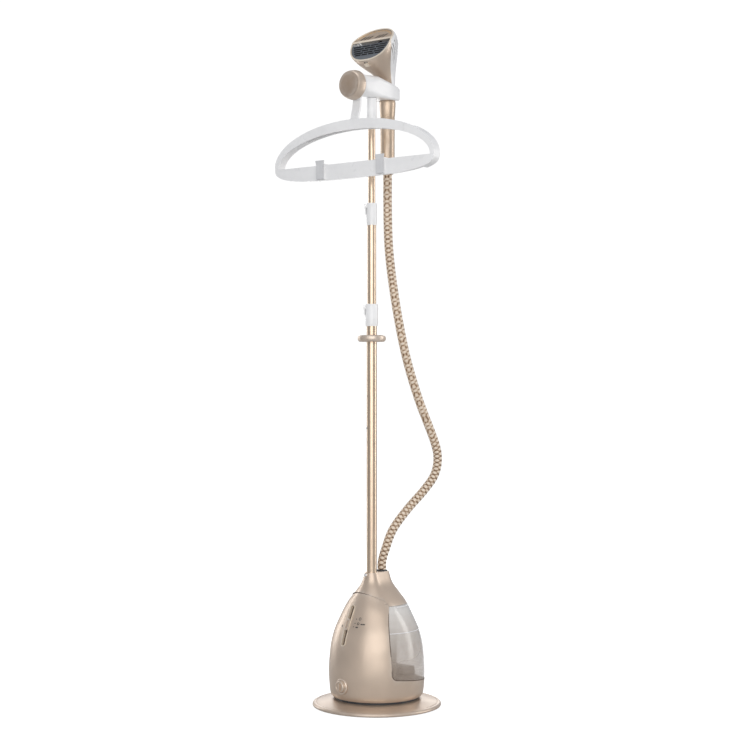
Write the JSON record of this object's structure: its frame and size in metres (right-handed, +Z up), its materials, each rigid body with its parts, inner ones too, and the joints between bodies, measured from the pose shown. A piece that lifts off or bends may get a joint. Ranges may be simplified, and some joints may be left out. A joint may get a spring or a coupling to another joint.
{
  "type": "garment steamer",
  "caption": "Upright garment steamer with a weighted disc, bell-shaped housing and slide-out tank, telescopic pole, hanger with clips, and a docked steam head on a flexible hose.",
  "frame": {"origin": "on the floor, under the centre of the round base disc", "axes": "+Z up; -Y the side the hanger and the lock knob face; +X to the right of someone facing them"},
  "size_m": [0.504, 0.3292, 1.6856],
  "materials": {
    "champagne_gold": "satin pearl champagne-gold paint on moulded plastic",
    "gold_tube": "gold anodised, satin",
    "white_plastic": "moulded, low gloss",
    "grey_plastic": "fine texture",
    "charcoal_plastic": "fine texture",
    "smoked_clear": "clear, lightly smoked",
    "steel": "plain",
    "cast_aluminium": "as cast",
    "rubber": "matt",
    "woven_hose": "woven jacket over a corrugated hose",
    "circuit_board": "solder mask"
  },
  "bodies": {
    "base": {"foot_ring": "rubber", "ballast_plate": "steel", "base_disc": "champagne_gold", "housing_floor": "charcoal_plastic", "housing_shell": "champagne_gold", "neck_cover": "champagne_gold", "core_housing": "champagne_gold", "boiler_body": "cast_aluminium", "boiler_cover": "cast_aluminium", "heating_element": "steel", "thermostat": "steel", "feed_pipe": "rubber", "drain_pipe": "steel", "steam_pipe": "rubber", "control_board": "circuit_board", "slider_bezel": "champagne_gold", "cord_gland": "charcoal_plastic", "pole_socket": "charcoal_plastic", "hose_socket": "charcoal_plastic", "neck_screw": "steel", "lower_pole": "gold_tube", "lower_pole_extension": "gold_tube", "collar_ring": "champagne_gold", "lower_latch_body": "white_plastic", "lower_latch_pin": "steel", "steam_hose": "woven_hose"},
    "tank": {"tank_shell": "smoked_clear", "scale_filter": "grey_plastic"},
    "filler_cap_body": {"filler_cap": "white_plastic"},
    "outlet_valve": {"outlet_poppet": "white_plastic"},
    "slider": {"slider_knob": "champagne_gold"},
    "drain_cap": {"drain_knob": "champagne_gold"},
    "pole_button_body": {"pole_button": "steel"},
    "lower_lever": {"lower_latch_lever": "white_plastic"},
    "middle_pole": {"mid_pole": "gold_tube", "mid_pole_foot": "charcoal_plastic", "upper_latch_body": "white_plastic", "upper_latch_pin": "steel"},
    "upper_lever": {"upper_latch_lever": "white_plastic"},
    "top_pole": {"upper_pole": "gold_tube", "upper_pole_foot": "charcoal_plastic", "dock_socket": "white_plastic", "dock_arm": "white_plastic"},
    "knob": {"lock_knob": "champagne_gold", "lock_knob_face": "champagne_gold"},
    "hanger": {"hanger_arch": "white_plastic", "hanger_loop": "white_plastic"},
    "left_clip": {"clip_base_left": "white_plastic"},
    "right_clip": {"clip_base_right": "white_plastic"},
    "left_jaw": {"clip_jaw_left": "white_plastic"},
    "right_jaw": {"clip_jaw_right": "white_plastic"},
    "head": {"head_front_shell": "champagne_gold", "head_back_shell": "white_plastic", "face_frame": "champagne_gold", "steam_plate": "gold_tube", "intake_grille": "charcoal_plastic", "head_steam_pipe": "rubber", "handle_grip": "champagne_gold", "hose_cuff": "champagne_gold"},
    "release_tab": {"head_release_tab": "champagne_gold"}
  },
  "joints": [
    {"name": "tank_pull", "type": "slide", "parent": "base", "child": "tank", "axis": [0.1392, 0.9903, 0], "range_m": [0, 0.2]},
    {"name": "filler_cap_turn", "type": "hinge", "parent": "tank", "child": "filler_cap_body", "pos_m": [0.00717, 0.051, 0.2535], "axis": [0, 0, 1], "range_deg": [0, 90]},
    {"name": "outlet_valve_slide", "type": "slide", "parent": "tank", "child": "outlet_valve", "axis": [0.1392, 0.9903, 0], "range_m": [0, 0.003], "stiffness_N_per_m": 200},
    {"name": "slider_travel", "type": "hinge", "parent": "base", "child": "slider", "pos_m": [0.06353, 0.45205, -0.003], "axis": [0.9903, -0.1392, 0], "range_deg": [-3.1, 3.5]},
    {"name": "drain_cap_turn", "type": "hinge", "parent": "base", "child": "drain_cap", "pos_m": [-0.01642, -0.11685, 0.0605], "axis": [-0.1392, -0.9903, 0], "range_deg": [0, 90]},
    {"name": "pole_button_press", "type": "slide", "parent": "base", "child": "pole_button_body", "axis": [-0.5736, -0.8192, 0], "range_m": [-0.002, 0], "stiffness_N_per_m": 500},
    {"name": "lower_latch_turn", "type": "hinge", "parent": "base", "child": "lower_lever", "pos_m": [-0.01519, -0.02807, 0.99], "axis": [-0.4695, 0.8829, 0], "range_deg": [0, 85]},
    {"name": "middle_pole_slide", "type": "slide", "parent": "base", "child": "middle_pole", "axis": [0, 0, 1], "range_m": [-0.19, 0], "deforming": ["steam_hose"]},
    {"name": "upper_latch_turn", "type": "hinge", "parent": "middle_pole", "child": "upper_lever", "pos_m": [-0.01289, -0.02685, 1.24], "axis": [-0.4695, 0.8829, 0], "range_deg": [0, 85]},
    {"name": "top_pole_slide", "type": "slide", "parent": "middle_pole", "child": "top_pole", "axis": [0, 0, 1], "range_m": [-0.19, 0]},
    {"name": "lock_knob_turn", "type": "hinge", "parent": "top_pole", "child": "knob", "pos_m": [0, -0.095, 1.5305], "axis": [0, -1, 0], "range_deg": [0, 180]},
    {"name": "hanger_tilt", "type": "hinge", "parent": "top_pole", "child": "hanger", "pos_m": [0, -0.076, 1.5305], "axis": [0, -1, 0], "range_deg": [-20, 20]},
    {"name": "left_clip_slide", "type": "slide", "parent": "hanger", "child": "left_clip", "axis": [1, 0, 0], "range_m": [-0.1, 0.06]},
    {"name": "right_clip_slide", "type": "slide", "parent": "hanger", "child": "right_clip", "axis": [1, 0, 0], "range_m": [-0.06, 0.1]},
    {"name": "left_jaw_open", "type": "hinge", "parent": "left_clip", "child": "left_jaw", "pos_m": [-0.095, -0.1057, 1.3445], "axis": [-1, 0, 0], "range_deg": [0, 20], "stiffness_Nm_per_rad": 0.2},
    {"name": "right_jaw_open", "type": "hinge", "parent": "right_clip", "child": "right_jaw", "pos_m": [0.095, -0.1057, 1.3445], "axis": [-1, 0, 0], "range_deg": [0, 20], "stiffness_Nm_per_rad": 0.2},
    {"name": "head_lift", "type": "slide", "parent": "top_pole", "child": "head", "axis": [0, 0, 1], "range_m": [0, 0.07]},
    {"name": "release_tab_press", "type": "slide", "parent": "head", "child": "release_tab", "axis": [0, -0.598, -0.8015], "range_m": [-0.002, 0], "stiffness_N_per_m": 400}
  ]
}
